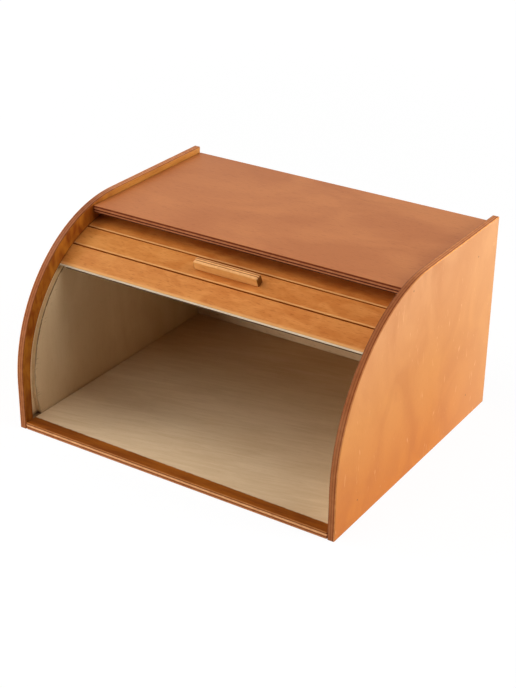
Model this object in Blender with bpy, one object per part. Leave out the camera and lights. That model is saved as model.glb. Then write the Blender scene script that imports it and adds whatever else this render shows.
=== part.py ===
"""Roll-top bread box in birch plywood, standing with its door rolled up.

Metres, with X along the width, Y to the back and Z up. The origin is on the table, under the
middle of the case. The door is a row of flat slats on a canvas backing. The slats' ends run in
a groove in each side, round about one centre line, so the whole door turns about that line.
"""

from math import asin, atan2, ceil, cos, degrees, hypot, pi, radians, sin, sqrt

import bmesh
import bpy
from mathutils import Matrix, Vector


# The case.
WIDTH = 0.290                # over the two sides
DEPTH = 0.245                # front edge to back edge of a side
HEIGHT = 0.165               # table to the top edge of a side
SIDE_THICKNESS = 0.006       # five plies, like the three panels between the sides
FLOOR_THICKNESS = 0.006
TOP_THICKNESS = 0.006
BACK_THICKNESS = 0.006
TOP_PANEL_DEPTH = 0.150      # the top stops short of the front, over the rolled door
TOP_RECESS = 0.005           # the top lies this far below the upper edges of the sides
FRONT_CURVE_MARGIN = 0.011   # the side's front curve is this much larger than the groove
EDGE_EASE = 0.0006           # sanded arrises of the panels
GLUE_GAP = 0.0003            # glue line between two pieces

# The blind dowels that join each panel to the sides.
DOWEL_DIAMETER = 0.003
DOWEL_IN_SIDE = 0.0032
DOWEL_IN_PANEL = 0.0085
DOWEL_CHAMFER = 0.0004
DOWEL_INSET = 0.030          # end dowels of a row, from the ends of the joint
FLOOR_DOWEL_COUNT = 3        # at each end of the panel
TOP_DOWEL_COUNT = 2
BACK_DOWEL_COUNT = 2

# The groove that carries the door.
GROOVE_DEPTH = 0.0035
GROOVE_TO_BACK = 0.0025      # outer wall of the groove to the back panel
GROOVE_TO_TOP = 0.004        # outer wall of the groove to the top panel
GROOVE_RUN_OUT = 0.001       # the groove goes on below the upper face of the floor
GROOVE_SPARE = 0.001         # groove left past the fully open door, before its round end

# The door.
SLAT_COUNT = 10
SLAT_THICKNESS = 0.0045
SLAT_EASE = 0.0008
SLAT_SPACING = 0.0003        # between neighbouring slats, at the canvas
SLAT_IN_GROOVE = 0.003       # length of a slat's end inside the groove
DOOR_CLEARANCE = 0.0003      # slats to the walls of the groove, and closed door to the floor
DOOR_OVERLAP = 0.026         # how far the closed door reaches in behind the top's front edge
OPEN_ANGLE = 51.9            # degrees from the front up to the door's lower edge, rolled up
CANVAS_THICKNESS = 0.0005
CANVAS_MARGIN = 0.003        # canvas edge to a side

# The handle, a strip of plywood standing on edge on the second slat.
HANDLE_SLAT = 2
HANDLE_LENGTH = 0.058
HANDLE_SHIFT = 0.0017        # it sits this far to the right of the middle
HANDLE_THICKNESS = 0.006
HANDLE_REACH = 0.008         # how far it stands out from the slat
HANDLE_CORNER = 0.0018       # radius of its two outer corners
HANDLE_EASE = 0.0004
SCREW_SPACING = 0.036
SCREW_DIAMETER = 0.0025
SCREW_IN_HANDLE = 0.005
SCREW_HEAD_DIAMETER = 0.0052
SCREW_HEAD_HEIGHT = 0.0016
SCREW_CLEARANCE = 0.0003

ARC_STEP = 2.5               # degrees of arc to a facet
ROUND_SIDES = 12             # facets round a dowel or a screw


# What follows from the sizes above.
inner_half = WIDTH / 2 - SIDE_THICKNESS
panel_half = inner_half - GLUE_GAP
back_face = DEPTH / 2 - BACK_THICKNESS
top_surface = HEIGHT - TOP_RECESS
top_underside = top_surface - TOP_THICKNESS
top_front = DEPTH / 2 - TOP_PANEL_DEPTH

groove_radius = back_face - GROOVE_TO_BACK
axis_height = top_underside - GROOVE_TO_TOP - groove_radius
curve_radius = groove_radius + FRONT_CURVE_MARGIN

# Angles of the door, from the front up and over to the back. Ten slats share the arc from the
# closed door's lower edge to its lap behind the top, which gives their pitch and their width.
slat_corner_radius = groove_radius - DOOR_CLEARANCE
closed_angle = asin((FLOOR_THICKNESS + DOOR_CLEARANCE - axis_height) / slat_corner_radius)
top_edge_angle = atan2(top_underside - axis_height, -top_front)
door_arc = top_edge_angle - closed_angle + DOOR_OVERLAP / slat_corner_radius
slat_pitch = door_arc / SLAT_COUNT
inner_shortfall = SLAT_THICKNESS * sin(slat_pitch / 2) + SLAT_SPACING / 2 * cos(slat_pitch / 2)
slat_half_angle = slat_pitch / 2 - asin(inner_shortfall / slat_corner_radius)
slat_half_width = slat_corner_radius * sin(slat_half_angle)
slat_outer = slat_corner_radius * cos(slat_half_angle)
slat_inner = slat_outer - SLAT_THICKNESS
slat_half_length = inner_half + SLAT_IN_GROOVE
groove_inner_radius = slat_inner - DOOR_CLEARANCE
canvas_outer = slat_inner - GLUE_GAP
canvas_inner = canvas_outer - CANVAS_THICKNESS

screw_places = (HANDLE_SHIFT - SCREW_SPACING / 2, HANDLE_SHIFT + SCREW_SPACING / 2)

first_slat_angle = radians(OPEN_ANGLE) + slat_half_angle
groove_foot = min(FLOOR_THICKNESS, axis_height) - GROOVE_RUN_OUT
inner_foot_angle = asin((groove_foot - axis_height) / groove_inner_radius)

# The handle's upper face stops against the lower front edge of the top panel.
handle_angle = first_slat_angle + (HANDLE_SLAT - 1) * slat_pitch
top_edge_radius = hypot(top_underside - axis_height, top_front)
handle_stop = top_edge_angle - asin(HANDLE_THICKNESS / 2 / top_edge_radius)

# The groove ends just past the last slat of the fully open door.
last_slat_angle = first_slat_angle + (SLAT_COUNT - 1) * slat_pitch
open_edge_angle = last_slat_angle + slat_half_angle + handle_stop - handle_angle
groove_end_angle = open_edge_angle + GROOVE_SPARE / slat_corner_radius

print("groove radius %.2f mm, centre %.2f mm up" % (groove_radius * 1000, axis_height * 1000))
print("groove ends at %.2f degrees" % degrees(groove_end_angle))
print("slats %.2f mm wide, %.3f degrees apart" % (slat_half_width * 2000, degrees(slat_pitch)))
print("door closes by %.2f degrees" % degrees(radians(OPEN_ANGLE) - closed_angle))
print("door opens by another %.2f degrees" % degrees(handle_stop - handle_angle))


def clear_scene():
    """Remove every object that the file opened with."""
    for old in list(bpy.data.objects):
        bpy.data.objects.remove(old, do_unlink=True)


def principled(name, colour, roughness, metallic=0.0):
    """A plain Principled material."""
    material = bpy.data.materials.new(name)
    material.use_nodes = True
    shader = material.node_tree.nodes["Principled BSDF"]
    shader.inputs["Base Color"].default_value = (*colour, 1.0)
    shader.inputs["Roughness"].default_value = roughness
    shader.inputs["Metallic"].default_value = metallic
    return material


def add_piece(name, shape, material, parent=None, turn=0.0):
    """Make a named object from a bmesh; turn rolls it about X, towards the front."""
    bmesh.ops.recalc_face_normals(shape, faces=shape.faces)
    mesh = bpy.data.meshes.new(name)
    shape.to_mesh(mesh)
    shape.free()
    mesh.materials.append(material)
    return place_mesh(name, mesh, parent, turn)


def place_mesh(name, mesh, parent=None, turn=0.0):
    """Put a mesh in the scene as an object of its own."""
    piece = bpy.data.objects.new(name, mesh)
    bpy.context.scene.collection.objects.link(piece)
    piece.parent = parent
    piece.rotation_euler.x = turn
    return piece


def add_cutter(name, shape):
    """A shape that only cuts others."""
    cutter = add_piece(name, shape, cutter_material)
    cutter.hide_render = True
    cutter.display_type = "WIRE"
    return cutter


def cut(piece, cutter):
    """Take the cutter's shape out of the piece."""
    boolean = piece.modifiers.new(cutter.name, "BOOLEAN")
    boolean.operation = "DIFFERENCE"
    boolean.solver = "EXACT"
    boolean.object = cutter


def shade_round(piece, angle=30.0):
    """Shade the round parts of a piece smooth and keep its corners sharp."""
    piece.data.shade_smooth()
    piece.data.set_sharp_from_angle(angle=radians(angle))


def box(low, high, ease=0.0):
    """A box between two corners, with its arrises eased."""
    shape = bmesh.new()
    bmesh.ops.create_cube(shape, size=1.0)
    size = Vector(high) - Vector(low)
    middle = (Vector(high) + Vector(low)) / 2
    stretch = Matrix.Translation(middle) @ Matrix.Diagonal(size).to_4x4()
    bmesh.ops.transform(shape, verts=shape.verts, matrix=stretch)
    if ease:
        bmesh.ops.bevel(shape, geom=shape.edges, offset=ease, segments=2, profile=0.5, affect="EDGES")
    return shape


def prism(outline, axis, low, high, ease=0.0):
    """A flat outline carried along an axis, with the edges of both its ends eased.

    For axis X the outline's points are (y, z), and for axis Y they are (x, z).
    """
    shape = bmesh.new()
    corners = []
    for across, up in outline:
        corners.append(shape.verts.new((low, across, up) if axis == "X" else (across, low, up)))
    shape.faces.new(corners)
    grown = bmesh.ops.extrude_face_region(shape, geom=shape.faces[:])
    moved = [item for item in grown["geom"] if isinstance(item, bmesh.types.BMVert)]
    step = Vector((high - low, 0, 0)) if axis == "X" else Vector((0, high - low, 0))
    bmesh.ops.translate(shape, verts=moved, vec=step)
    if ease:
        length_axis = 0 if axis == "X" else 1
        rims = [e for e in shape.edges if abs((e.verts[0].co - e.verts[1].co)[length_axis]) < 1e-7]
        bmesh.ops.bevel(shape, geom=rims, offset=ease, segments=2, profile=0.5, affect="EDGES")
    return shape


def arc_points(centre, radius, start, stop):
    """Points along an arc about a (y, z) centre; angles run from the front up and over."""
    steps = max(2, ceil(degrees(abs(stop - start)) / ARC_STEP))
    points = []
    for i in range(steps + 1):
        angle = start + (stop - start) * i / steps
        points.append((centre[0] - radius * cos(angle), centre[1] + radius * sin(angle)))
    return points


def turned_pin(shape, centre, direction, profile):
    """Add a closed turned pin to a bmesh; the profile gives (distance along, radius) pairs."""
    turn = Vector((0, 0, 1)).rotation_difference(Vector(direction)).to_matrix()
    rings = []
    for along, radius in profile:
        ring = []
        for i in range(ROUND_SIDES):
            angle = 2 * pi * i / ROUND_SIDES
            local = Vector((radius * cos(angle), radius * sin(angle), along))
            ring.append(shape.verts.new(Vector(centre) + turn @ local))
        rings.append(ring)
    for lower, upper in zip(rings, rings[1:]):
        for i in range(ROUND_SIDES):
            j = (i + 1) % ROUND_SIDES
            shape.faces.new((lower[i], lower[j], upper[j], upper[i]))
    shape.faces.new(reversed(rings[0]))
    shape.faces.new(rings[-1])


def side_outline():
    """Outline of a side in (y, z): upright front, quarter-round shoulder, flat top."""
    front = -DEPTH / 2
    back = DEPTH / 2
    centre = (front + curve_radius, HEIGHT - curve_radius)
    return [(back, 0), (front, 0)] + arc_points(centre, curve_radius, 0, pi / 2) + [(back, HEIGHT)]


def groove_outline():
    """Outline of the groove in (y, z): its foot's outer wall is straight and its far end round."""
    centre = (0, axis_height)
    outer = arc_points(centre, groove_radius, 0, groove_end_angle)
    inner = arc_points(centre, groove_inner_radius, groove_end_angle, inner_foot_angle)
    front_foot = (-groove_radius, groove_foot)
    middle = (groove_radius + groove_inner_radius) / 2
    cutter_radius = (groove_radius - groove_inner_radius) / 2
    end = []
    for i in range(1, 6):
        turn = pi * i / 6
        reach = middle + cutter_radius * cos(turn)
        past = cutter_radius * sin(turn)
        end.append((-reach * cos(groove_end_angle) + past * sin(groove_end_angle),
                    axis_height + reach * sin(groove_end_angle) + past * cos(groove_end_angle)))
    return [front_foot] + outer + end + inner


def spread(low, high, count):
    """Evenly spaced places between two ends, both included."""
    return [low + (high - low) * i / (count - 1) for i in range(count)]


def dowel_rows():
    """Places of the dowels in (y, z): one row for each panel, the same at both sides."""
    floor_y = spread(-DEPTH / 2 + DOWEL_INSET, DEPTH / 2 - DOWEL_INSET, FLOOR_DOWEL_COUNT)
    top_y = spread(top_front + DOWEL_INSET, DEPTH / 2 - DOWEL_INSET, TOP_DOWEL_COUNT)
    back_z = spread(FLOOR_THICKNESS + DOWEL_INSET, top_underside - DOWEL_INSET, BACK_DOWEL_COUNT)
    return {
        "floor": [(y, FLOOR_THICKNESS / 2) for y in floor_y],
        "top": [(y, top_surface - TOP_THICKNESS / 2) for y in top_y],
        "back": [(DEPTH / 2 - BACK_THICKNESS / 2, z) for z in back_z],
    }


def dowel_shape():
    """A dowel along +Z, with chamfered ends; the joint's plane passes through its origin."""
    shape = bmesh.new()
    radius = DOWEL_DIAMETER / 2
    tip = radius - DOWEL_CHAMFER
    profile = [(-DOWEL_IN_PANEL, tip), (DOWEL_CHAMFER - DOWEL_IN_PANEL, radius),
               (DOWEL_IN_SIDE - DOWEL_CHAMFER, radius), (DOWEL_IN_SIDE, tip)]
    turned_pin(shape, (0, 0, 0), (0, 0, 1), profile)
    return shape


def dowel_holes_shape(places):
    """The holes of every dowel, at both sides, larger than the dowels by the glue gap."""
    shape = bmesh.new()
    radius = DOWEL_DIAMETER / 2 + GLUE_GAP
    profile = [(-DOWEL_IN_PANEL - GLUE_GAP, radius), (DOWEL_IN_SIDE + GLUE_GAP, radius)]
    for side in (-1, 1):
        for y, z in places:
            turned_pin(shape, (side * inner_half, y, z), (side, 0, 0), profile)
    return shape


def door_turn(angle):
    """Roll that brings a piece made at the top of the circle to an angle of the door."""
    return pi / 2 - angle


def slat_shape():
    """One slat at the top of the circle: its outer face up, its lower edge to the front."""
    low = (-slat_half_length, -slat_half_width, slat_inner)
    high = (slat_half_length, slat_half_width, slat_outer)
    return box(low, high, SLAT_EASE)


def canvas_shape():
    """The canvas behind the slats: flat on each slat and bent at each seam."""
    outline_outer = []
    outline_inner = []
    for i in range(SLAT_COUNT + 1):
        angle = first_slat_angle + (i - 0.5) * slat_pitch
        outline_outer.append(seam_point(angle, canvas_outer))
        outline_inner.append(seam_point(angle, canvas_inner))
    half = inner_half - CANVAS_MARGIN
    return prism(outline_outer + outline_inner[::-1], "X", -half, half)


def seam_point(angle, flat_distance):
    """Where the canvas bends at a seam, in (y, z) about the groove's centre."""
    radius = flat_distance / cos(slat_pitch / 2)
    return (-radius * cos(angle), radius * sin(angle))


def handle_outline():
    """Outline of the handle in (x, z) at the top of the circle, its outer corners rounded."""
    half = HANDLE_LENGTH / 2
    foot = slat_outer + GLUE_GAP
    crest = slat_outer + HANDLE_REACH
    points = [(half, foot), (-half, foot)]
    for side in (-1, 1):
        for i in range(5):
            angle = (i if side < 0 else 4 - i) * pi / 8
            x = side * (half - HANDLE_CORNER + HANDLE_CORNER * cos(angle))
            points.append((x, crest - HANDLE_CORNER + HANDLE_CORNER * sin(angle)))
    return points


def screw_shape():
    """A pan-head screw from inside the door, at the top of the circle, its head downwards."""
    shape = bmesh.new()
    radius = SCREW_DIAMETER / 2
    head_radius = SCREW_HEAD_DIAMETER / 2
    seat = canvas_inner - GLUE_GAP
    crown = seat - SCREW_HEAD_HEIGHT
    tip = slat_outer + SCREW_IN_HANDLE
    profile = [(crown, head_radius * 0.6), (crown + SCREW_HEAD_HEIGHT * 0.2, head_radius * 0.86),
               (crown + SCREW_HEAD_HEIGHT * 0.6, head_radius), (seat, head_radius),
               (seat, radius), (tip - SCREW_DIAMETER, radius), (tip, radius * 0.3)]
    turned_pin(shape, (0, 0, 0), (0, 0, 1), profile)
    return shape


def screw_holes_shape():
    """The holes for the screws, through canvas and slat and blind in the handle."""
    shape = bmesh.new()
    radius = SCREW_DIAMETER / 2 + SCREW_CLEARANCE
    mouth = canvas_inner - SCREW_HEAD_HEIGHT
    profile = [(mouth, radius), (slat_outer + SCREW_IN_HANDLE + SCREW_CLEARANCE, radius)]
    for x in screw_places:
        turned_pin(shape, (x, 0, 0), (0, 0, 1), profile)
    return shape


clear_scene()
stained_birch = principled("stained_birch_plywood", (0.62, 0.26, 0.085), 0.42)
bare_birch = principled("bare_birch_plywood", (0.66, 0.50, 0.33), 0.6)
cutter_material = principled("cutter", (0.5, 0.5, 0.5), 0.5)

# The two sides, each grooved on its inner face and bored for the dowels.
rows = dowel_rows()
all_places = rows["floor"] + rows["top"] + rows["back"]
dowel_holes = add_cutter("dowel_holes", dowel_holes_shape(all_places))
for name, side in (("left_side", -1), ("right_side", 1)):
    faces = sorted((side * inner_half, side * WIDTH / 2))
    panel = add_piece(name, prism(side_outline(), "X", faces[0], faces[1], EDGE_EASE), stained_birch)
    walls = sorted((side * (inner_half - GROOVE_DEPTH), side * (inner_half + GROOVE_DEPTH)))
    groove = add_cutter(name + "_groove", prism(groove_outline(), "X", walls[0], walls[1]))
    cut(panel, groove)
    cut(panel, dowel_holes)
    shade_round(panel)

# The three panels between the sides.
floor_low = (-panel_half, -DEPTH / 2, 0)
floor_high = (panel_half, DEPTH / 2, FLOOR_THICKNESS)
back_low = (-panel_half, back_face, FLOOR_THICKNESS + GLUE_GAP)
back_high = (panel_half, DEPTH / 2, top_underside - GLUE_GAP)
top_low = (-panel_half, top_front, top_underside)
top_high = (panel_half, DEPTH / 2, top_surface)
for name, low, high, finish in (("floor_panel", floor_low, floor_high, bare_birch),
                                ("back_panel", back_low, back_high, stained_birch),
                                ("top_panel", top_low, top_high, stained_birch)):
    panel = add_piece(name, box(low, high, EDGE_EASE), finish)
    cut(panel, dowel_holes)
    shade_round(panel)

dowel_wood = principled("beech_dowel", (0.62, 0.42, 0.25), 0.6)
dowel_mesh = None
for row, places in rows.items():
    for hand, side in (("left", -1), ("right", 1)):
        for number, (y, z) in enumerate(places, 1):
            name = "%s_dowel_%s_%d" % (row, hand, number)
            if dowel_mesh is None:
                dowel = add_piece(name, dowel_shape(), dowel_wood)
                shade_round(dowel)
                dowel_mesh = dowel.data
            else:
                dowel = place_mesh(name, dowel_mesh)
            dowel.location = (side * inner_half, y, z)
            dowel.rotation_euler.y = side * pi / 2

# The door hangs on its axis, the centre line of the two grooves.
door_axis = bpy.data.objects.new("door_axis", None)
bpy.context.scene.collection.objects.link(door_axis)
door_axis.location.z = axis_height

slats = []
for number in range(1, SLAT_COUNT + 1):
    name = "slat_%02d" % number
    turn = door_turn(first_slat_angle + (number - 1) * slat_pitch)
    if slats:
        slat = place_mesh(name, slats[0].data, door_axis, turn)
    else:
        slat = add_piece(name, slat_shape(), stained_birch, door_axis, turn)
        shade_round(slat)
    slats.append(slat)

canvas_cloth = principled("cotton_canvas", (0.72, 0.66, 0.54), 0.95)
canvas = add_piece("canvas_backing", canvas_shape(), canvas_cloth, door_axis)

handle_turn = door_turn(handle_angle)
handle_faces = (-HANDLE_THICKNESS / 2, HANDLE_THICKNESS / 2)
handle = add_piece("handle", prism(handle_outline(), "Y", *handle_faces, HANDLE_EASE), stained_birch,
                   door_axis, handle_turn)
handle.location.x = HANDLE_SHIFT
shade_round(handle)

screw_steel = principled("zinc_plated_steel", (0.62, 0.62, 0.6), 0.35, 1.0)
screw = add_piece("handle_screw_left", screw_shape(), screw_steel, door_axis, handle_turn)
shade_round(screw, 50.0)
screw.location.x = screw_places[0]
screw = place_mesh("handle_screw_right", screw.data, door_axis, handle_turn)
screw.location.x = screw_places[1]
screw_holes = add_cutter("screw_holes", screw_holes_shape())
screw_holes.parent = door_axis
screw_holes.rotation_euler.x = handle_turn
for piece in (slats[HANDLE_SLAT - 1], canvas, handle):
    cut(piece, screw_holes)
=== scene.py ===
import math

import bpy
import numpy as np
from mathutils import Matrix, Vector


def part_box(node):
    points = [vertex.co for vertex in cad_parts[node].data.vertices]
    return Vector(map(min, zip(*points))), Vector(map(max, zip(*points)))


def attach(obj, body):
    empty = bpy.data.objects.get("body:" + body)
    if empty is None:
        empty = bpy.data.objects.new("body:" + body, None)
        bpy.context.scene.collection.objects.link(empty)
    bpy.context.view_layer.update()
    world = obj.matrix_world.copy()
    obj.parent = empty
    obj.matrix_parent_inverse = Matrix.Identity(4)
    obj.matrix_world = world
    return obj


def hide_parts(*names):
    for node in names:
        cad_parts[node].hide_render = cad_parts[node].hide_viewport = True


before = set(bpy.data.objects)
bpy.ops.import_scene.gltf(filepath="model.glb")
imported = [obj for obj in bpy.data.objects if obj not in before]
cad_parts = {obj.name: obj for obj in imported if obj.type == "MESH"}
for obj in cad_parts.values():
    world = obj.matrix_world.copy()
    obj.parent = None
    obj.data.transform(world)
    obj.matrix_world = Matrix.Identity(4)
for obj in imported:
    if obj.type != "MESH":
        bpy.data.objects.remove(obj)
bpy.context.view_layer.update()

# The camera. The photograph looks down on the box from 32 degrees to the right of its front,
# a little over a metre away, through a moderately long lens that leans by less than a degree.
view_azimuth = math.radians(32.484)
view_height = math.radians(27.138)
view_lean = math.radians(0.701)
camera_place = (0.56876, -0.89164, 0.60604)
level = Vector((math.cos(view_azimuth), math.sin(view_azimuth), 0))
backward = Vector((math.sin(view_azimuth) * math.cos(view_height),
                   -math.cos(view_azimuth) * math.cos(view_height), math.sin(view_height)))
upward = backward.cross(level)
camera_right = math.cos(view_lean) * level + math.sin(view_lean) * upward
camera_up = math.cos(view_lean) * upward - math.sin(view_lean) * level
camera = bpy.data.objects.new("camera", bpy.data.cameras.new("camera"))
bpy.context.scene.collection.objects.link(camera)
camera_turn = Matrix((camera_right, camera_up, backward)).transposed().to_4x4()
camera.matrix_world = Matrix.Translation(camera_place) @ camera_turn
camera.data.sensor_width = 36
camera.data.lens = 78.175
bpy.context.scene.camera = camera
bpy.context.scene.view_settings.view_transform = "Standard"


# The studio. A white table, which fades into an even white surround, and large soft lamps light
# the box from everywhere, with the strongest at the right, so its right side is the brightest.
def linear(hex_colour):
    """An sRGB hex colour as linear red, green, blue and 1."""
    parts = [int(hex_colour[i:i + 2], 16) / 255 for i in (0, 2, 4)]
    return (*[p / 12.92 if p < 0.04045 else ((p + 0.055) / 1.055) ** 2.4 for p in parts], 1)


def add_node(tree, kind, inputs=None, ramp=(), **settings):
    """Add a shader node with its settings; an input takes a value, a node or one of its outputs."""
    node = tree.nodes.new("ShaderNode" + kind)
    for name, value in settings.items():
        setattr(node, name, value)
    for i, (stop, colour) in enumerate(ramp):
        point = node.color_ramp.elements[i] if i < 2 else node.color_ramp.elements.new(stop)
        point.position = stop
        point.color = colour
    for name, value in (inputs or {}).items():
        if isinstance(value, bpy.types.Node):
            value = value.outputs[0]
        if isinstance(value, bpy.types.NodeSocket):
            tree.links.new(value, node.inputs[name])
        else:
            node.inputs[name].default_value = value
    return node


def empty_tree(owner):
    """Switch on an owner's nodes and clear them."""
    owner.use_nodes = True
    owner.node_tree.nodes.clear()
    return owner.node_tree


surround = bpy.data.worlds.new("white_surround")
bpy.context.scene.world = surround
tree = empty_tree(surround)
path = add_node(tree, "LightPath")
seen = add_node(tree, "Math", {0: path.outputs["Is Camera Ray"], 1: path.outputs["Is Glossy Ray"]},
                operation="MAXIMUM")
seen = add_node(tree, "Math", {0: seen, 1: path.outputs["Is Transmission Ray"]},
                operation="MAXIMUM")
lighting = add_node(tree, "Background", {"Color": linear("FFFFFF"), "Strength": 0.02})
backdrop = add_node(tree, "Background", {"Color": linear("FFFFFF"), "Strength": 1.0})
either = add_node(tree, "MixShader", {0: seen, 1: lighting, 2: backdrop})
add_node(tree, "OutputWorld", {"Surface": either})

floor_mesh = bpy.data.meshes.new("studio_table")
floor_mesh.from_pydata([(-5, -5, 0), (5, -5, 0), (5, 5, 0), (-5, 5, 0)], [], [(0, 1, 2, 3)])
floor = bpy.data.objects.new("studio_table", floor_mesh)
floor.location.z = -0.0002
bpy.context.scene.collection.objects.link(floor)
table_paint = bpy.data.materials.new("white_table")
tree = empty_tree(table_paint)
path = add_node(tree, "LightPath")
seen = add_node(tree, "Math", {0: path.outputs["Is Camera Ray"], 1: path.outputs["Is Glossy Ray"]},
                operation="MAXIMUM")
table_place = add_node(tree, "TexCoord").outputs["Object"]
distance = add_node(tree, "VectorMath", {0: table_place}, operation="LENGTH").outputs["Value"]
glow = add_node(tree, "MapRange", {"Value": distance, "From Min": 0.5, "From Max": 1.6,
                                   "To Min": 0.9})
share = add_node(tree, "Math", {0: seen, 1: glow}, operation="MULTIPLY")
painted = add_node(tree, "BsdfDiffuse", {"Color": linear("F2F2F2")})
glowing = add_node(tree, "Emission", {"Color": linear("FFFFFF"), "Strength": 1.03})
either = add_node(tree, "MixShader", {0: share, 1: painted, 2: glowing})
add_node(tree, "OutputMaterial", {"Surface": either})
floor_mesh.materials.append(table_paint)

for name, place, width, power in (("right_softbox", (1.45, 0.45, 0.45), 0.9, 17.9),
                                  ("left_softbox", (-1.20, -1.10, 0.35), 0.7, 4.0),
                                  ("low_front", (-0.50, -1.50, 0.22), 0.5, 8.0),
                                  ("far_left", (-1.60, -0.10, 0.50), 0.7, 7.0),
                                  ("back_softbox", (0.60, 1.50, 0.12), 0.7, 10.7),
                                  ("upper_right", (1.00, 0.10, 1.30), 0.7, 5.7),
                                  ("upper_left", (-1.10, -0.30, 1.20), 0.6, 7.0),
                                  ("left_corner", (-1.00, -0.95, 0.80), 0.7, 1.5),
                                  ("upper_corner", (-0.70, -0.70, 1.30), 0.6, 1.3),
                                  ("upper_front", (0.00, -0.90, 1.30), 0.6, 2.0),
                                  ("overhead", (0.00, 0.00, 1.60), 0.6, 2.4)):
    lamp = bpy.data.lights.new(name, "AREA")
    lamp.energy = power
    lamp.size = width
    lamp_object = bpy.data.objects.new(name, lamp)
    lamp_object.location = place
    towards = Vector((0, 0, 0.07)) - Vector(place)
    lamp_object.rotation_euler = towards.to_track_quat("-Z", "Y").to_euler()
    bpy.context.scene.collection.objects.link(lamp_object)


# The two sides. Each is sawn from 6 mm birch plywood of five plies, with a quarter-round
# shoulder, then sanded and stained outside and on the rim in front of the door. The groove for
# the slats is routed into the inner face, which stays bare behind the door.
def birch_veneer(tree, place, grain, tones, seed, flames=0.4, flecks=0.35, clouds=(32, 60, 0.8)):
    """The figure of rotary-cut birch between a light and a dark tone, and the fleck in it.

    grain is the axis that the grain runs along. The soft clouds are given by their width and
    length in millimetres and how much they bend, and the flames are 5 mm across and 48 mm long.
    The flecks are the wood's pores, really 0.1 mm across, and drawn 0.7 mm across and 5 mm long
    so that they show. Returns the colour and the pores' relief.
    """
    layers = []
    for across, along, bend in (clouds, (5, 48, 1.2), (0.7, 5, 0)):
        sizes = [across / 1000] * 3
        sizes[grain] = along / 1000
        scaled = add_node(tree, "Mapping", {"Vector": place, "Location": (seed, seed + 3, seed + 5),
                                            "Scale": [1 / size for size in sizes]})
        layers.append(add_node(tree, "TexNoise", {"Vector": scaled, "Scale": 1, "Detail": 2,
                                                  "Roughness": 0.45, "Distortion": bend}))
    figure = add_node(tree, "MixRGB", {"Fac": flames, "Color1": layers[0], "Color2": layers[1]})
    dark_share = add_node(tree, "MapRange", {"Value": figure, "From Min": 0.38, "From Max": 0.62})
    figured = add_node(tree, "MixRGB", {"Fac": dark_share, "Color1": linear(tones[0]),
                                        "Color2": linear(tones[1])})
    fleck = add_node(tree, "MapRange", {"Value": layers[2], "From Min": 0.56, "From Max": 0.74,
                                        "To Max": flecks})
    darker = add_node(tree, "MixRGB", {"Fac": 1, "Color1": figured, "Color2": linear("BF9A78")},
                      blend_type="MULTIPLY")
    flecked = add_node(tree, "MixRGB", {"Fac": fleck, "Color1": figured, "Color2": darker})
    return flecked, layers[2]


def ply_edge(tree, place, depth, faces, bands):
    """A board's faces and its sawn edge, on which each ply is a band of its own colour.

    depth is measured in millimetres from one face of the 6 mm board, and each band is given by
    the depth at which it starts. The saw leaves the bands a little uneven, by less than a tenth
    of a millimetre. Returns the colour and where the sawn edge is, as 1 on it and 0 on the faces.
    """
    board = 6
    blur = 0.10
    stops = [(0, linear(bands[0][1]))]
    for start, colour in bands[1:]:
        stops += [((start - blur) / board, stops[-1][1]),
                  ((start + blur) / board, linear(colour))]
    scaled = add_node(tree, "Mapping", {"Vector": place, "Scale": (250, 250, 250)})
    saw_marks = add_node(tree, "TexNoise", {"Vector": scaled, "Scale": 1, "Detail": 3,
                                            "Roughness": 0.6})
    waver = add_node(tree, "Math", {0: saw_marks, 1: 0.14, 2: -0.07}, operation="MULTIPLY_ADD")
    wavy_depth = add_node(tree, "Math", {0: depth, 1: waver}, operation="ADD")
    share = add_node(tree, "Math", {0: wavy_depth, 1: board}, operation="DIVIDE")
    plies = add_node(tree, "ValToRGB", {"Fac": share}, ramp=stops)
    rough = add_node(tree, "MapRange", {"Value": saw_marks, "From Min": 0.3, "From Max": 0.7})
    tint = add_node(tree, "MixRGB", {"Fac": rough, "Color1": linear("E4D6CC"),
                                     "Color2": linear("FFFFFF")})
    sawn = add_node(tree, "MixRGB", {"Fac": 1, "Color1": plies, "Color2": tint},
                    blend_type="MULTIPLY")
    past_first = add_node(tree, "MapRange", {"Value": depth, "From Min": 0.08, "From Max": 0.14})
    before_last = add_node(tree, "MapRange", {"Value": depth, "From Min": board - 0.08,
                                              "From Max": board - 0.14})
    between = add_node(tree, "Math", {0: past_first, 1: before_last}, operation="MULTIPLY")
    return add_node(tree, "MixRGB", {"Fac": between, "Color1": faces, "Color2": sawn}), between


def satin_wood(tree, colour, roughness, relief, height):
    """A sanded wood surface under a thin finish, its relief's height in metres."""
    bump = add_node(tree, "Bump", {"Height": relief, "Distance": height, "Strength": 1.0})
    shader = add_node(tree, "BsdfPrincipled", {"Base Color": colour, "Roughness": roughness,
                                               "IOR": 1.5, "Specular IOR Level": 0.2,
                                               "Specular Tint": linear("F0CCA4"),
                                               "Normal": bump})
    add_node(tree, "OutputMaterial", {"Surface": shader})


def dress(name, material):
    """Give the piece of that name its finish."""
    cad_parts[name].data.materials.clear()
    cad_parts[name].data.materials.append(material)


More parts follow.
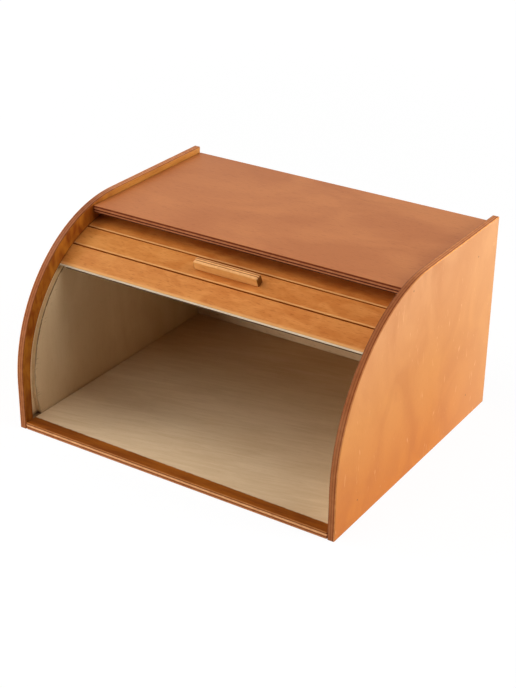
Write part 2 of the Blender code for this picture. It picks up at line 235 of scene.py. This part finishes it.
inner_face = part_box("right_side")[0].x
side_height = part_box("right_side")[1].z
top_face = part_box("top_panel")[1].z
groove_wall = 0.114          # radius of the groove's outer wall
groove_core = 0.1085         # radius of its inner wall
groove_centre = 0.036        # height of its centre above the table
groove_foot = 0.005          # height of its lower end
groove_depth = 3.5           # in millimetres
bare_tones = ("E0C49C", "D8BA91")
side_bands = [(0, "7E4218"), (0.8, "A7663A"), (2.3, "8F4E26"), (2.9, "AA683C"), (4.2, "844218"),
              (5.1, "CC8850")]
# Stain tones by height: deeper at the lower edge as painted shade, paler at the top as painted
# sheen.
side_tones_shade_to_sheen = [(0.05, "C7741C"), (0.5, "CA833E"), (0.95, "CF905B")]
pin_knots = ((-0.0205, 0.1564), (0.0885, 0.1434), (0.0855, 0.0231), (-0.0909, 0.0185))

# Birch plywood under a thin honey stain, hand rubbed: even, drawn deeper towards the lower edge and
# paler towards the upper edge, which is painted shade low down and painted sheen high up, and
# thinner towards the back, with faint flames up the board, a few light scuffs 15 mm long, and four
# pin knots in the right side.
side_wood = bpy.data.materials.new("stained_birch_plywood_side")
tree = empty_tree(side_wood)
place = add_node(tree, "TexCoord").outputs["Object"]
axes = add_node(tree, "SeparateXYZ", {"Vector": place})
outwards = add_node(tree, "Math", {0: axes.outputs["X"]}, operation="ABSOLUTE")
depth = add_node(tree, "Math", {0: outwards, 1: 1000, 2: -1000 * inner_face},
                 operation="MULTIPLY_ADD")
height = add_node(tree, "Math", {0: axes.outputs["Z"], 1: side_height}, operation="DIVIDE")
stain_shade_to_sheen = add_node(tree, "ValToRGB", {"Fac": height}, ramp=[(h, linear(c)) for h, c in side_tones_shade_to_sheen])
figure, outside_relief = birch_veneer(tree, place, 2, ("FFFFFF", "F2E8DC"), 4.0, 0.05, 0.12,
                                      (44, 60, 1.1))
outside = add_node(tree, "MixRGB", {"Fac": 1, "Color1": stain_shade_to_sheen, "Color2": figure},
                   blend_type="MULTIPLY")
thinner = add_node(tree, "MapRange", {"Value": axes.outputs["Y"], "From Min": 0.02,
                                      "From Max": 0.125, "To Max": 0.45})
outside = add_node(tree, "MixRGB", {"Fac": thinner, "Color1": outside, "Color2": linear("DCA068")})
flat_place = add_node(tree, "CombineXYZ", {"Y": axes.outputs["Y"], "Z": axes.outputs["Z"]})
nearest = 1
for knot in pin_knots:
    from_knot = add_node(tree, "VectorMath", {0: flat_place, 1: (0, *knot)}, operation="DISTANCE")
    nearest = add_node(tree, "Math", {0: from_knot.outputs["Value"], 1: nearest},
                       operation="MINIMUM")
knot = add_node(tree, "MapRange", {"Value": nearest, "From Min": 0.0009, "From Max": 0.0004,
                                   "To Max": 0.7})
on_right = add_node(tree, "Math", {0: axes.outputs["X"], 1: 0}, operation="GREATER_THAN")
knot = add_node(tree, "Math", {0: knot, 1: on_right}, operation="MULTIPLY")
outside = add_node(tree, "MixRGB", {"Fac": knot, "Color1": outside, "Color2": linear("4A2410")})
scaled = add_node(tree, "Mapping", {"Vector": place, "Location": (3, 0, 6),
                                    "Rotation": (math.radians(-55), 0, 0), "Scale": (30, 330, 60)})
scratches = add_node(tree, "TexNoise", {"Vector": scaled, "Scale": 1, "Detail": 1,
                                        "Distortion": 1.5})
scuffed = add_node(tree, "MapRange", {"Value": scratches, "From Min": 0.70, "From Max": 0.80,
                                      "To Max": 0.35})
outside = add_node(tree, "MixRGB", {"Fac": scuffed, "Color1": outside, "Color2": linear("F6C48E")})

# Inside, the rim in front of the door is stained and what the door hides is bare, drawn a shade
# browner towards the back for the deep shadow there. The lip above the top is a lighter shade,
# and so is the flat of the upper edge, which hands have rubbed.
inside = birch_veneer(tree, place, 2, bare_tones, 9.0, 0.15, 0.1)[0]
browned = add_node(tree, "MapRange", {"Value": axes.outputs["Y"], "From Min": 0.02,
                                      "From Max": 0.10})
inside = add_node(tree, "MixRGB", {"Fac": browned, "Color1": inside, "Color2": linear("E6E6DC")},
                  blend_type="MULTIPLY")
rim_stain = birch_veneer(tree, place, 2, ("B66E21", "8A4311"), 7.0, 0.3, 0.35, (12, 20, 1))[0]
lip_stain = birch_veneer(tree, place, 1, ("C8863C", "B97832"), 8.0)[0]
arc_height = add_node(tree, "Math", {0: axes.outputs["Z"], 1: groove_centre}, operation="SUBTRACT")
upright = add_node(tree, "Math", {0: arc_height, 1: 0}, operation="MAXIMUM")
to_wall = add_node(tree, "CombineXYZ", {"Y": axes.outputs["Y"], "Z": upright})
to_core = add_node(tree, "CombineXYZ", {"Y": axes.outputs["Y"], "Z": arc_height})
wall_reach = add_node(tree, "VectorMath", {0: to_wall}, operation="LENGTH").outputs["Value"]
core_reach = add_node(tree, "VectorMath", {0: to_core}, operation="LENGTH").outputs["Value"]
rim = add_node(tree, "MapRange", {"Value": wall_reach, "From Min": groove_wall - 0.0001,
                                  "From Max": groove_wall + 0.0001})
front_half = add_node(tree, "MapRange", {"Value": axes.outputs["Y"], "From Min": 0.0001,
                                         "From Max": -0.0001})
rim = add_node(tree, "Math", {0: rim, 1: front_half}, operation="MULTIPLY")
above_top = add_node(tree, "MapRange", {"Value": axes.outputs["Z"], "From Min": top_face - 0.0010,
                                        "From Max": top_face - 0.0008})
rim = add_node(tree, "Math", {0: rim, 1: above_top}, operation="MAXIMUM")
on_flat = add_node(tree, "MapRange", {"Value": axes.outputs["Y"], "From Min": -0.03,
                                      "From Max": 0.012})
rim_stain = add_node(tree, "MixRGB", {"Fac": on_flat, "Color1": rim_stain, "Color2": lip_stain})
inner_side = add_node(tree, "MixRGB", {"Fac": rim, "Color1": inside, "Color2": rim_stain})

# The routed groove: pale wood on its walls, a ragged dark line along the sharp arris where the door
# slides in and out, faint near the floor, with a few splinters torn from it, and dark brown in the
# groove's foot, which is dirt and painted shade.
in_arc = add_node(tree, "MapRange", {"Value": wall_reach, "From Min": groove_wall + 0.0005,
                                     "From Max": groove_wall + 0.0003})
over_foot = add_node(tree, "MapRange", {"Value": axes.outputs["Z"],
                                        "From Min": groove_foot - 0.0015,
                                        "From Max": groove_foot - 0.0008})
in_groove = add_node(tree, "Math", {0: in_arc, 1: over_foot}, operation="MULTIPLY")
scaled = add_node(tree, "Mapping", {"Vector": place, "Scale": (160, 160, 160)})
chips = add_node(tree, "TexNoise", {"Vector": scaled, "Scale": 1, "Detail": 4, "Roughness": 0.7})
ragged = add_node(tree, "Math", {0: chips, 1: 0.004, 2: core_reach}, operation="MULTIPLY_ADD")
at_core = add_node(tree, "MapRange", {"Value": ragged, "From Min": groove_core + 0.0008,
                                      "From Max": groove_core + 0.0015})
arris = add_node(tree, "MapRange", {"Value": depth, "From Min": 0.55, "From Max": 0.25,
                                    "To Max": 0.8})
fainter = add_node(tree, "MapRange", {"Value": axes.outputs["Z"], "From Min": 0.035,
                                      "From Max": 0.075, "To Min": 0.45})
arris = add_node(tree, "Math", {0: arris, 1: fainter}, operation="MULTIPLY")
scaled = add_node(tree, "Mapping", {"Vector": place, "Location": (0, 2, 5),
                                    "Scale": (20, 90, 1100)})
splinters = add_node(tree, "TexNoise", {"Vector": scaled, "Scale": 1, "Detail": 1,
                                        "Roughness": 0.4})
torn = add_node(tree, "MapRange", {"Value": splinters, "From Min": 0.66, "From Max": 0.70,
                                   "To Max": 0.8})
beside = add_node(tree, "MapRange", {"Value": core_reach, "From Min": groove_core - 0.007,
                                     "From Max": groove_core - 0.003})
torn = add_node(tree, "Math", {0: torn, 1: beside}, operation="MULTIPLY")
at_core = add_node(tree, "Math", {0: at_core, 1: torn}, operation="MAXIMUM")
dark_arris_line = add_node(tree, "Math", {0: at_core, 1: arris}, operation="MULTIPLY")
dark_arris_line = add_node(tree, "Math", {0: dark_arris_line, 1: front_half}, operation="MULTIPLY")
dark_arris_line = add_node(tree, "Math", {0: dark_arris_line, 1: in_groove}, operation="MULTIPLY")
routed = birch_veneer(tree, place, 1, ("F0D8AE", "E8CA9C"), 3.0, 0.4, 0.15)[0]
# The groove's foot is drawn dark brown, which is dirt and painted shade in the hollow.
in_foot = add_node(tree, "MapRange", {"Value": axes.outputs["Z"], "From Min": groove_foot + 0.0035,
                                      "From Max": groove_foot + 0.0008, "To Max": 0.85})
dirt_and_shade = add_node(tree, "Math", {0: in_foot, 1: front_half}, operation="MULTIPLY")
routed = add_node(tree, "MixRGB", {"Fac": dirt_and_shade, "Color1": routed, "Color2": linear("6A4828")})
near_side = add_node(tree, "MixRGB", {"Fac": in_groove, "Color1": inner_side, "Color2": routed})
near_face = add_node(tree, "MapRange", {"Value": depth, "From Min": 0.10, "From Max": 0.02})
inner_colour = add_node(tree, "MixRGB", {"Fac": near_face, "Color1": near_side,
                                         "Color2": inner_side})
inner_colour = add_node(tree, "MixRGB", {"Fac": dark_arris_line, "Color1": inner_colour,
                                         "Color2": linear("5A3012")})
halfway = add_node(tree, "MapRange", {"Value": depth, "From Min": groove_depth + 0.1,
                                      "From Max": groove_depth + 0.2})
faces = add_node(tree, "MixRGB", {"Fac": halfway, "Color1": inner_colour, "Color2": outside})
edged, between = ply_edge(tree, place, depth, faces, side_bands)
# The sawn edge is drawn a shade darker from 5 cm up.
edge_darker_higher = add_node(tree, "MapRange", {"Value": axes.outputs["Z"], "From Min": 0.05,
                                      "From Max": 0.10})
edge_darker_higher = add_node(tree, "Math", {0: edge_darker_higher, 1: between}, operation="MULTIPLY")
edged = add_node(tree, "MixRGB", {"Fac": edge_darker_higher, "Color1": edged, "Color2": linear("F3EBEF")},
                 blend_type="MULTIPLY")
worn = add_node(tree, "Math", {0: on_flat, 1: between}, operation="MULTIPLY")
worn = add_node(tree, "Math", {0: worn, 1: above_top}, operation="MULTIPLY")
edged = add_node(tree, "MixRGB", {"Fac": worn, "Color1": edged, "Color2": linear("C2BAD1")},
                 blend_type="DIVIDE")
shallow = add_node(tree, "MapRange", {"Value": depth, "From Min": groove_depth + 0.2,
                                      "From Max": groove_depth + 0.1})
groove_part = add_node(tree, "Math", {0: in_groove, 1: shallow}, operation="MULTIPLY")
side_colour = add_node(tree, "MixRGB", {"Fac": groove_part, "Color1": edged,
                                        "Color2": inner_colour})
satin_wood(tree, side_colour, 0.42, outside_relief, 0.00001)
for name in ("left_side", "right_side"):
    dress(name, side_wood)


# The floor of the box, a plain birch board between the sides. It stays bare where bread lies,
# and is stained on its front edge and on the strip in front of the closed door.
floor_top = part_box("floor_panel")[1].z
strip_edge = -0.1119         # where the stain stops at the middle, at the closed door
strip_lean = 0.0045          # how much that line is out of true
floor_bands = [(0, "BC7C44"), (0.5, "8E4E22"), (1.65, "E8AF79"), (3.2, "955228"), (4.6, "BE7E4C")]

# Bare, sanded birch: pale and smooth, its long wavy flames a little askew to the front edge, and
# drawn browner towards the back for the deep shadow there. The stain ends on a line half a
# millimetre out of true, where it was masked by hand.
floor_wood = bpy.data.materials.new("bare_birch_plywood_floor")
tree = empty_tree(floor_wood)
place = add_node(tree, "TexCoord").outputs["Object"]
axes = add_node(tree, "SeparateXYZ", {"Vector": place})
depth = add_node(tree, "Math", {0: axes.outputs["Z"], 1: -1000, 2: 1000 * floor_top},
                 operation="MULTIPLY_ADD")
askew = add_node(tree, "Mapping", {"Vector": place, "Rotation": (0, 0, math.radians(-12))})
bare, bare_relief = birch_veneer(tree, askew, 0, ("E9CCA6", "DFC098"), 13.0, 0.6, 0.12,
                                 (45, 90, 1.4))
browned = add_node(tree, "MapRange", {"Value": axes.outputs["Y"], "From Min": 0.02,
                                      "From Max": 0.10})
bare = add_node(tree, "MixRGB", {"Fac": browned, "Color1": bare, "Color2": linear("E2D4C4")},
                blend_type="MULTIPLY")
strip = birch_veneer(tree, place, 0, ("9E5618", "7E3E10"), 5.0)[0]
taped = add_node(tree, "Math", {0: axes.outputs["X"], 1: strip_lean, 2: axes.outputs["Y"]},
                 operation="MULTIPLY_ADD")
bled = add_node(tree, "Math", {0: bare_relief, 1: 0.0016, 2: taped}, operation="MULTIPLY_ADD")
stained = add_node(tree, "MapRange", {"Value": bled, "From Min": strip_edge + 0.0013,
                                      "From Max": strip_edge + 0.0003})
upper = add_node(tree, "MixRGB", {"Fac": stained, "Color1": bare, "Color2": strip})
floor_colour = ply_edge(tree, place, depth, upper, floor_bands)[0]
satin_wood(tree, floor_colour, 0.55, bare_relief, 0.00001)
dress("floor_panel", floor_wood)


# The back, a birch board between the sides, the floor and the top, glued on dowels: stained
# outside and bare inside.
back_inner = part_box("back_panel")[0].y

back_wood = bpy.data.materials.new("stained_birch_plywood_back")
tree = empty_tree(back_wood)
place = add_node(tree, "TexCoord").outputs["Object"]
axes = add_node(tree, "SeparateXYZ", {"Vector": place})
depth = add_node(tree, "Math", {0: axes.outputs["Y"], 1: 1000, 2: -1000 * back_inner},
                 operation="MULTIPLY_ADD")
outer, outer_relief = birch_veneer(tree, place, 0, ("CF8440", "C5742F"), 31.0)
bare = birch_veneer(tree, place, 0, ("D8B78F", "D1AD85"), 17.0)[0]
halfway = add_node(tree, "MapRange", {"Value": depth, "From Min": 2.9, "From Max": 3.1})
back_colour = add_node(tree, "MixRGB", {"Fac": halfway, "Color1": bare, "Color2": outer})
satin_wood(tree, back_colour, 0.45, outer_relief, 0.00001)
dress("back_panel", back_wood)


# The top, a stained birch board between the sides a little below their upper edges. Its sawn front
# edge, over the rolled door, shows its plies as dark and light lines, and the darkest line, along
# its lower arris, is painted shade.
top_bands = [(0, "662406"), (1.4, "B5744A"), (2.75, "541C06"), (3.9, "AD6D46"), (5.0, "341204")]

# Birch under the same stain, its grain from side to side, with short fine flecks.
top_wood = bpy.data.materials.new("stained_birch_plywood_top")
tree = empty_tree(top_wood)
place = add_node(tree, "TexCoord").outputs["Object"]
axes = add_node(tree, "SeparateXYZ", {"Vector": place})
depth = add_node(tree, "Math", {0: axes.outputs["Z"], 1: -1000, 2: 1000 * top_face},
                 operation="MULTIPLY_ADD")
upper, upper_relief = birch_veneer(tree, place, 0, ("CA7C44", "BC6E39"), 21.0, 0.1, 0.3,
                                   (55, 75, 0.8))
bare = birch_veneer(tree, place, 0, bare_tones, 13.0)[0]
halfway = add_node(tree, "MapRange", {"Value": depth, "From Min": 2.9, "From Max": 3.1})
faces = add_node(tree, "MixRGB", {"Fac": halfway, "Color1": upper, "Color2": bare})
top_colour = ply_edge(tree, place, depth, faces, top_bands)[0]
satin_wood(tree, top_colour, 0.42, upper_relief, 0.00001)
dress("top_panel", top_wood)


# Fourteen plain beech dowels, glued blind into the joints of the case, where only their bores
# would show them.
dowel_wood = bpy.data.materials.new("beech_dowel")
tree = empty_tree(dowel_wood)
place = add_node(tree, "TexCoord").outputs["Object"]
beech, beech_relief = birch_veneer(tree, place, 0, ("D2AE82", "C29A6C"), 61.0)
satin_wood(tree, beech, 0.6, beech_relief, 0.00001)
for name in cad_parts:
    if "dowel" in name:
        dress(name, dowel_wood)


# The slats of the door, ten flat birch strips with eased arrises, glued side by side on canvas.
# They were stained with the door closed, so the colour is on their outer faces and has run a
# little way into the seams.
slat_pitch = math.radians(10.513)
first_slat = math.radians(56.87)    # angle of the first slat's middle at rest
slat_outer = 0.11327                # from the groove's centre to a slat's outer face
slat_half = 0.00985                 # half a slat's width
# The light line along each slat's lower arris is rubbed stain and also a painted highlight.
rubbed_highlight_line = 0.0013                # width of its rubbed arris, and twice that on the lowest slat
shade_draw = 1300                   # which random draw of shades the slats have

# Honey stain on narrow strips: each one a shade of its own, the third drawn darkest as painted
# shade under the top; paler at the left as painted sheen and deeper to the right as painted shade;
# its lower arris rubbed to a light line that is also a painted highlight; and dark where the stain
# pooled in the seams, which the door's lower edge is clear of.
slat_wood = bpy.data.materials.new("stained_birch_slat")
tree = empty_tree(slat_wood)
place = add_node(tree, "TexCoord").outputs["Object"]
axes = add_node(tree, "SeparateXYZ", {"Vector": place})
rise = add_node(tree, "Math", {0: axes.outputs["Z"], 1: groove_centre}, operation="SUBTRACT")
forward = add_node(tree, "Math", {0: axes.outputs["Y"], 1: -1}, operation="MULTIPLY")
spoke = add_node(tree, "CombineXYZ", {"Y": forward, "Z": rise})
radius = add_node(tree, "VectorMath", {0: spoke}, operation="LENGTH").outputs["Value"]
angle = add_node(tree, "Math", {0: rise, 1: forward}, operation="ARCTAN2")
turns = add_node(tree, "Math", {0: angle, 1: 1 / slat_pitch, 2: -first_slat / slat_pitch},
                 operation="MULTIPLY_ADD")
number = add_node(tree, "Math", {0: turns}, operation="ROUND")
from_middle = add_node(tree, "Math", {0: turns, 1: number}, operation="SUBTRACT")
slant = add_node(tree, "Math", {0: from_middle, 1: slat_pitch}, operation="MULTIPLY")
slant_sine = add_node(tree, "Math", {0: slant}, operation="SINE")
slant_cosine = add_node(tree, "Math", {0: slant}, operation="COSINE")
across = add_node(tree, "Math", {0: radius, 1: slant_sine}, operation="MULTIPLY")
out = add_node(tree, "Math", {0: radius, 1: slant_cosine}, operation="MULTIPLY")
along = add_node(tree, "Math", {0: number, 1: 0.377, 2: axes.outputs["X"]},
                 operation="MULTIPLY_ADD")
slat_place = add_node(tree, "CombineXYZ", {"X": along, "Y": across, "Z": out})
outer, outer_relief = birch_veneer(tree, slat_place, 0, ("D58D46", "C47834"), 41.0, 0.3, 0.5,
                                   (10, 18, 0.8))
bare = birch_veneer(tree, slat_place, 0, ("E8DAC2", "DDCDB2"), 43.0)[0]
# A random shade for each slat. The draw makes the third slat at rest the darkest, which is painted
# shade under the top.
drawn = add_node(tree, "Math", {0: number, 1: shade_draw}, operation="ADD")
shade = add_node(tree, "TexWhiteNoise", {"W": drawn}, noise_dimensions="1D")
slat_tone_and_shade = add_node(tree, "MixRGB", {"Fac": shade.outputs["Value"], "Color1": linear("FFFFFF"),
                                       "Color2": linear("EDE1D4")})
outer = add_node(tree, "MixRGB", {"Fac": 1, "Color1": outer, "Color2": slat_tone_and_shade},
                 blend_type="MULTIPLY")
# Painted sheen and shade: the slats are drawn paler at the left and deeper to the right.
sheen_left_shade_right = add_node(tree, "MapRange", {"Value": axes.outputs["X"], "From Min": -0.14,
                                     "From Max": 0.06})
sheen_left_shade_right = add_node(tree, "MixRGB", {"Fac": sheen_left_shade_right, "Color1": linear("FFFFFF"),
                                   "Color2": linear("F9EFF2")})
outer = add_node(tree, "MixRGB", {"Fac": 1, "Color1": outer, "Color2": sheen_left_shade_right},
                 blend_type="MULTIPLY")
# The light line on the lower arris: rubbed stain, and a painted highlight where the arris catches
# the light.
lowest = add_node(tree, "Math", {0: number, 1: 0.5}, operation="LESS_THAN")
rubbed_highlight_width = add_node(tree, "Math", {0: lowest, 1: rubbed_highlight_line, 2: rubbed_highlight_line - slat_half},
                        operation="MULTIPLY_ADD")
rubbed_highlight_share = add_node(tree, "Math", {0: lowest, 1: 0.1, 2: 0.6}, operation="MULTIPLY_ADD")
rubbed_and_highlight = add_node(tree, "MapRange", {"Value": across, "From Min": rubbed_highlight_width,
                                     "From Max": 0.0009 - slat_half, "To Max": rubbed_highlight_share})
outer = add_node(tree, "MixRGB", {"Fac": rubbed_and_highlight, "Color1": outer, "Color2": linear("E0A868")})
reached = add_node(tree, "MapRange", {"Value": out, "From Min": slat_outer - 0.0009,
                                      "From Max": slat_outer - 0.0006})
slat_colour = add_node(tree, "MixRGB", {"Fac": reached, "Color1": bare, "Color2": outer})
width = add_node(tree, "Math", {0: across}, operation="ABSOLUTE")
on_edge = add_node(tree, "MapRange", {"Value": width, "From Min": slat_half - 0.00025,
                                      "From Max": slat_half - 0.00015})
in_seam = add_node(tree, "MapRange", {"Value": out, "From Min": slat_outer - 0.0004,
                                      "From Max": slat_outer - 0.0007})
pooled = add_node(tree, "Math", {0: on_edge, 1: in_seam}, operation="MULTIPLY")
below_door = add_node(tree, "Math", {0: number, 1: slat_half * 4, 2: across},
                      operation="MULTIPLY_ADD")
past_first = add_node(tree, "MapRange", {"Value": below_door, "From Min": 0, "From Max": 0.001})
pooled = add_node(tree, "Math", {0: pooled, 1: past_first}, operation="MULTIPLY")
slat_colour = add_node(tree, "MixRGB", {"Fac": pooled, "Color1": slat_colour,
                                        "Color2": linear("A8560F")})
satin_wood(tree, slat_colour, 0.42, outer_relief, 0.00001)
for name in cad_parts:
    if name.startswith("slat_"):
        dress(name, slat_wood)


# The canvas that joins the slats, a strip of plain-woven cotton glued to their inner faces. It
# is flat on each slat and bends at each seam, which is where the door rolls.
canvas_width = 0.272
canvas_reach = 0.10822       # from the groove's centre to the middle of the cloth on a slat
canvas_start = first_slat - slat_pitch / 2
canvas_length = 20 * canvas_reach * math.tan(slat_pitch / 2)


def canvas_surface(columns, rows):
    """Points of the cloth and its flat coordinates in metres, row by row.

    At an angle a from the middle of its slat, the cloth is canvas_reach / cos(a) from the
    groove's centre, less 0.12 mm at each seam, where it rounds the corner in puckers 9 mm
    apart. Its two cut edges waver by a quarter of a millimetre.
    """
    across = np.linspace(-0.5, 0.5, columns)[None, :]
    down = np.linspace(0, 10, rows)[:, None]
    from_middle = (down - np.floor(np.minimum(down, 9.999)) - 0.5) * slat_pitch
    to_seam = slat_pitch / 2 - np.abs(from_middle)
    x = across * (canvas_width - 0.0005 * np.sin(2 * np.pi * down / 1.7) ** 2)
    pucker = 0.00009 + 0.00003 * np.sin(2 * np.pi * x / 0.009 + 2.4 * np.round(down))
    reach = canvas_reach / np.cos(from_middle) - pucker * np.exp(-(to_seam / 0.012) ** 2)
    angle = canvas_start + down * slat_pitch
    points = np.stack([x, -reach * np.cos(angle), groove_centre + reach * np.sin(angle)], 2)
    flat = np.stack([x, down * canvas_length / 10 + 0 * x], 2)
    return points.reshape(-1, 3), flat.reshape(-1, 2)


columns, rows = 121, 161
points, flat = canvas_surface(columns, rows)
corner = (np.arange(rows - 1)[:, None] * columns + np.arange(columns - 1)[None, :]).reshape(-1)
quads = np.stack([corner, corner + 1, corner + columns + 1, corner + columns], 1)
canvas_mesh = bpy.data.meshes.new("canvas_cloth")
canvas_mesh.from_pydata(points.tolist(), [], quads.tolist())
canvas_mesh.uv_layers.new(name="cut_flat").data.foreach_set("uv",
                                                            flat[quads.reshape(-1)].reshape(-1))
canvas_mesh.polygons.foreach_set("use_smooth", np.ones(len(quads), dtype=bool))
canvas = bpy.data.objects.new("canvas_cloth", canvas_mesh)
bpy.context.scene.collection.objects.link(canvas)
body = canvas.modifiers.new("cloth_thickness", "SOLIDIFY")
body.thickness = 0.0005
body.offset = 0
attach(canvas, "tambour")
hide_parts("canvas_backing")

# Unbleached cotton in a plain weave, its threads really 0.5 mm apart and drawn at 1 mm so that they
# show. It is matt and buff, with brown lines where stain came through the seams and a dark band
# half a millimetre wide along its lower end.
cotton = bpy.data.materials.new("cotton_canvas_plain_weave")
tree = empty_tree(cotton)
cut_flat = add_node(tree, "UVMap", uv_map="cut_flat")
threads = add_node(tree, "VectorMath", {0: cut_flat, 1: (1000, 1000, 0)}, operation="MULTIPLY")
thread_axes = add_node(tree, "SeparateXYZ", {"Vector": threads})
over_under = add_node(tree, "TexChecker", {"Vector": threads, "Scale": 1, "Color1": (1, 1, 1, 1),
                                           "Color2": (0, 0, 0, 1)})
rounds = []
for axis in ("X", "Y"):
    turn = add_node(tree, "Math", {0: thread_axes.outputs[axis], 1: math.pi}, operation="MULTIPLY")
    wave = add_node(tree, "Math", {0: turn}, operation="SINE")
    rounds.append(add_node(tree, "Math", {0: wave}, operation="ABSOLUTE"))
weave = add_node(tree, "MixRGB", {"Fac": over_under, "Color1": rounds[0], "Color2": rounds[1]})
slubs = add_node(tree, "TexNoise", {"Vector": threads, "Scale": 0.22, "Detail": 3,
                                    "Roughness": 0.6})
thread_tone = add_node(tree, "MixRGB", {"Fac": slubs, "Color1": linear("C8B48C"),
                                        "Color2": linear("B49E76")})
hollow = add_node(tree, "MixRGB", {"Fac": weave, "Color1": linear("B9AB8C"),
                                   "Color2": linear("FFFFFF")})
cloth = add_node(tree, "MixRGB", {"Fac": 1, "Color1": thread_tone, "Color2": hollow},
                 blend_type="MULTIPLY")
seam_turn = add_node(tree, "Math", {0: thread_axes.outputs["Y"], 1: math.pi * 0.01 / canvas_length},
                     operation="MULTIPLY")
seam_sine = add_node(tree, "Math", {0: seam_turn}, operation="SINE")
from_seam = add_node(tree, "Math", {0: seam_sine}, operation="ABSOLUTE")
soaked = add_node(tree, "MapRange", {"Value": from_seam, "From Min": 0.22, "From Max": 0.08,
                                     "To Max": 0.85})
cloth = add_node(tree, "MixRGB", {"Fac": soaked, "Color1": cloth, "Color2": linear("A05A20")})
hem = add_node(tree, "MapRange", {"Value": thread_axes.outputs["Y"], "From Min": 1.0,
                                  "From Max": 0.5, "To Max": 0.9})
cloth = add_node(tree, "MixRGB", {"Fac": hem, "Color1": cloth, "Color2": linear("3A2410")})
thread_bump = add_node(tree, "Bump", {"Height": weave, "Distance": 0.00015, "Strength": 0.8})
matt = add_node(tree, "BsdfPrincipled", {"Base Color": cloth, "Roughness": 0.92,
                                         "Specular IOR Level": 0.25,
                                         "Sheen Weight": 0.15, "Sheen Roughness": 0.5,
                                         "Normal": thread_bump})
add_node(tree, "OutputMaterial", {"Surface": matt})
canvas_mesh.materials.append(cotton)


# The handle, a strip of birch plywood glued and screwed on edge to the second slat, so its plies
# show as lines along its outer edge. Its end grain drank the most stain.
handle_roll = first_slat + slat_pitch - math.pi / 2
handle_low, handle_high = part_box("handle")
handle_middle = (handle_low.x + handle_high.x) / 2
handle_half = (handle_high.x - handle_low.x) / 2
handle_bands = [(0, "DFA367"), (1.05, "8A4512"), (1.65, "F0B575"), (3.0, "8A4512"), (3.6, "F2B778"),
                (5.6, "EDB16F")]

# Birch under the same stain, drawn paler than the slats because its faces turn away from the
# lamps, with brown end grain.
handle_wood = bpy.data.materials.new("stained_birch_handle")
tree = empty_tree(handle_wood)
place = add_node(tree, "TexCoord").outputs["Object"]
lowered = Matrix.Rotation(handle_roll, 3, "X") @ Vector((0, 0, groove_centre))
upright = add_node(tree, "Mapping", {"Vector": place, "Location": -lowered,
                                     "Rotation": (handle_roll, 0, 0)})
axes = add_node(tree, "SeparateXYZ", {"Vector": upright})
depth = add_node(tree, "Math", {0: axes.outputs["Y"], 1: -1000, 2: 3}, operation="MULTIPLY_ADD")
face, face_relief = birch_veneer(tree, upright, 0, ("DC9C58", "D08E4A"), 51.0)
edged = ply_edge(tree, upright, depth, face, handle_bands)[0]
from_middle = add_node(tree, "Math", {0: axes.outputs["X"], 1: handle_middle}, operation="SUBTRACT")
to_end = add_node(tree, "Math", {0: from_middle}, operation="ABSOLUTE")
end_grain = add_node(tree, "MapRange", {"Value": to_end, "From Min": handle_half - 0.0007,
                                        "From Max": handle_half - 0.0001})
handle_colour = add_node(tree, "MixRGB", {"Fac": end_grain, "Color1": edged,
                                          "Color2": linear("6A3A0C")})
satin_wood(tree, handle_colour, 0.42, face_relief, 0.00001)
dress("handle", handle_wood)


# Two pan-head screws, driven from inside the door through the canvas and the slat into the
# handle.
screw_steel = bpy.data.materials.new("zinc_plated_steel")
tree = empty_tree(screw_steel)
place = add_node(tree, "TexCoord").outputs["Object"]
grains = add_node(tree, "Mapping", {"Vector": place, "Scale": (700, 700, 700)})
zinc = add_node(tree, "TexNoise", {"Vector": grains, "Scale": 1, "Detail": 3})
plating = add_node(tree, "MixRGB", {"Fac": zinc, "Color1": linear("C9CACB"),
                                    "Color2": linear("A9ACB0")})
ripple = add_node(tree, "Bump", {"Height": zinc, "Distance": 0.00001, "Strength": 0.6})
steel = add_node(tree, "BsdfPrincipled", {"Base Color": plating, "Metallic": 1.0, "Roughness": 0.32,
                                          "Normal": ripple})
add_node(tree, "OutputMaterial", {"Surface": steel})
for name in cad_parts:
    if "screw" in name:
        dress(name, screw_steel)
